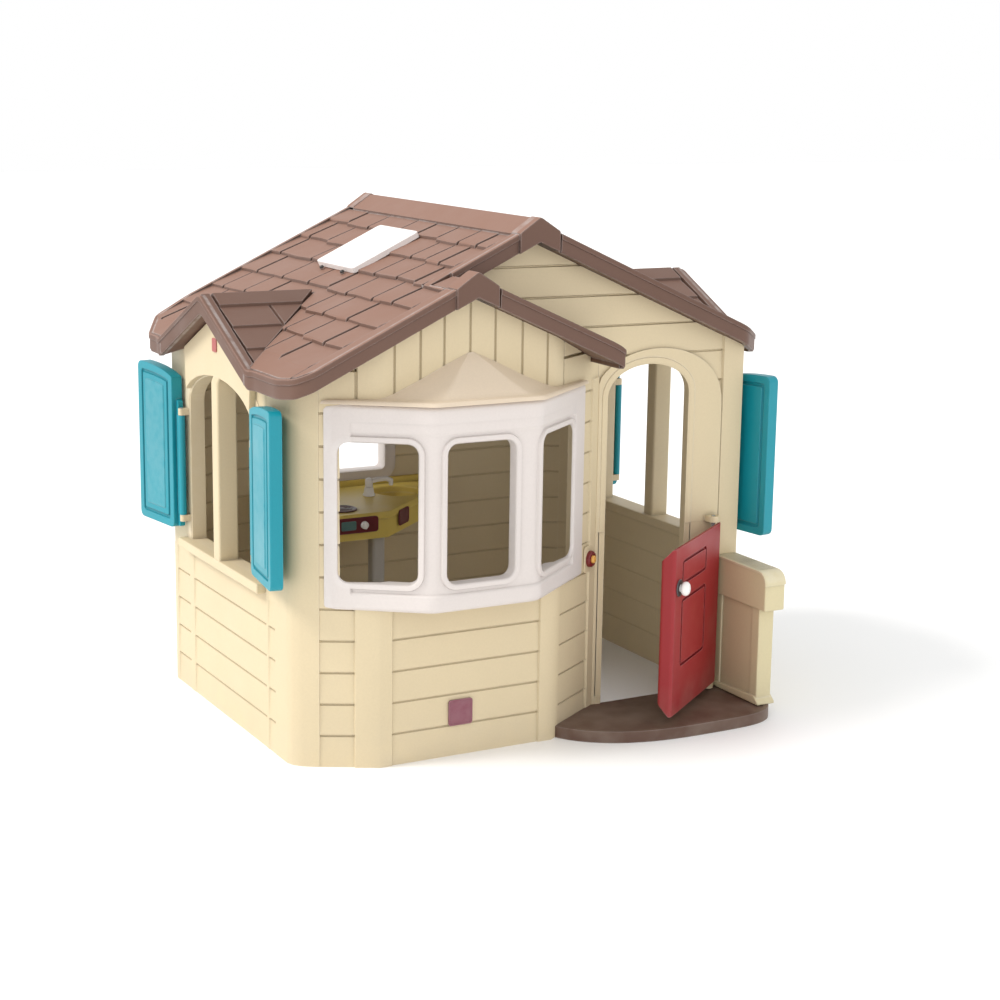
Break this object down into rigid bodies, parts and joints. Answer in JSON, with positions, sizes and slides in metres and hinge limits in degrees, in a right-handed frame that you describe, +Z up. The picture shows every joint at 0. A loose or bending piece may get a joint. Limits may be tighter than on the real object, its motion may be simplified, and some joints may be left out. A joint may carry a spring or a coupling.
{
  "type": "plastic playhouse",
  "caption": "Moulded playhouse with clapboard walls, shingled roofs, bay window, arched side windows with shutters, half door, porch and play kitchen.",
  "frame": {"origin": "on the ground under the middle of the bounding box, with the half door standing part open", "axes": "+Z up, -Y is the front with the bay window and the doorway, +X to the right of someone facing the front, on the doorway's side"},
  "size_m": [1.663, 1.423, 1.511],
  "materials": {
    "roof_plastic": "moulded brown polyethylene with raised shingles",
    "wall_plastic": "moulded cream polyethylene with clapboards",
    "bay_plastic": "moulded off-white polyethylene",
    "bay_roof_plastic": "moulded beige polyethylene",
    "shutter_plastic": "moulded teal polyethylene",
    "door_plastic": "moulded red polyethylene",
    "white_plastic": "smooth white plastic",
    "pin_plastic": "grey plastic rod",
    "porch_plastic": "moulded dark brown polyethylene",
    "rail_plastic": "moulded pale yellow polyethylene",
    "bell_red": "dark red plastic",
    "bell_yellow": "amber plastic",
    "badge_plastic": "plain plum plate",
    "stud_plastic": "dark plastic stud",
    "counter_plastic": "moulded yellow polyethylene",
    "burner_plastic": "dark brown disc",
    "leg_plastic": "moulded pale grey plastic",
    "panel_plastic": "dark red panel"
  },
  "bodies": {
    "house": {"roof_left": "roof_plastic", "roof_right": "roof_plastic", "bay_ridge_cap": "roof_plastic", "bay_roof_right": "roof_plastic", "left_wall": "wall_plastic", "right_wall": "wall_plastic", "bay_wall": "wall_plastic", "back_wall": "wall_plastic", "door_wall": "wall_plastic", "back_window_frame": "bay_plastic", "bay_window_frame": "bay_plastic", "bay_window_roof": "bay_roof_plastic", "left_front_shutter_pin": "pin_plastic", "left_rear_shutter_pin": "pin_plastic", "right_front_shutter_pin": "pin_plastic", "right_rear_shutter_pin": "pin_plastic", "door_pin": "pin_plastic", "porch_step": "porch_plastic", "porch_rail": "rail_plastic", "doorbell_plate": "wall_plastic", "doorbell_housing": "bell_red", "front_badge": "badge_plastic", "dormer_badge": "badge_plastic", "skylight": "bay_plastic", "skylight_stud_front": "stud_plastic", "skylight_stud_rear": "stud_plastic", "kitchen_counter": "counter_plastic", "burner_1": "burner_plastic", "burner_2": "burner_plastic", "counter_leg_left": "leg_plastic", "counter_leg_right": "leg_plastic", "control_panel": "panel_plastic", "side_panel": "panel_plastic", "faucet_base": "white_plastic"},
    "door": {"door_leaf": "door_plastic", "door_knob": "white_plastic"},
    "left_front_shutter_body": {"left_front_shutter": "shutter_plastic"},
    "left_rear_shutter_body": {"left_rear_shutter": "shutter_plastic"},
    "right_front_shutter_body": {"right_front_shutter": "shutter_plastic"},
    "right_rear_shutter_body": {"right_rear_shutter": "shutter_plastic"},
    "doorbell_button_body": {"doorbell_button": "bell_yellow"},
    "stove_dial_1_body": {"stove_dial_1": "white_plastic"},
    "stove_dial_2_body": {"stove_dial_2": "white_plastic"},
    "faucet_spout_body": {"faucet_spout": "white_plastic"}
  },
  "joints": [
    {"name": "door_swing", "type": "hinge", "parent": "house", "child": "door", "pos_m": [0.6475, -0.4285, 0.31], "axis": [0, 0, 1], "range_deg": [-37, 50]},
    {"name": "left_front_shutter_swing", "type": "hinge", "parent": "house", "child": "left_front_shutter_body", "pos_m": [-0.7765, -0.2235, 0.73], "axis": [0, 0, -1], "range_deg": [-8, 172]},
    {"name": "left_rear_shutter_swing", "type": "hinge", "parent": "house", "child": "left_rear_shutter_body", "pos_m": [-0.7765, 0.3565, 0.73], "axis": [0, 0, 1], "range_deg": [-8, 172]},
    {"name": "right_front_shutter_swing", "type": "hinge", "parent": "house", "child": "right_front_shutter_body", "pos_m": [0.7765, -0.2385, 0.73], "axis": [0, 0, 1], "range_deg": [-8, 172]},
    {"name": "right_rear_shutter_swing", "type": "hinge", "parent": "house", "child": "right_rear_shutter_body", "pos_m": [0.7765, 0.3415, 0.73], "axis": [0, 0, -1], "range_deg": [-8, 172]},
    {"name": "doorbell_press", "type": "slide", "parent": "house", "child": "doorbell_button_body", "axis": [-0.5495, 0.8355, 0], "range_m": [0, 0.004], "stiffness_N_per_m": 400},
    {"name": "stove_dial_1_turn", "type": "hinge", "parent": "house", "child": "stove_dial_1_body", "pos_m": [-0.3475, 0.1965, 0.515], "axis": [0, 1, 0], "range_deg": [-135, 135]},
    {"name": "stove_dial_2_turn", "type": "hinge", "parent": "house", "child": "stove_dial_2_body", "pos_m": [-0.2425, 0.1965, 0.515], "axis": [0, 1, 0], "range_deg": [-135, 135]},
    {"name": "faucet_swivel", "type": "hinge", "parent": "house", "child": "faucet_spout_body", "pos_m": [-0.1125, 0.4365, 0.59], "axis": [0, 0, 1], "range_deg": [-60, 60]}
  ]
}
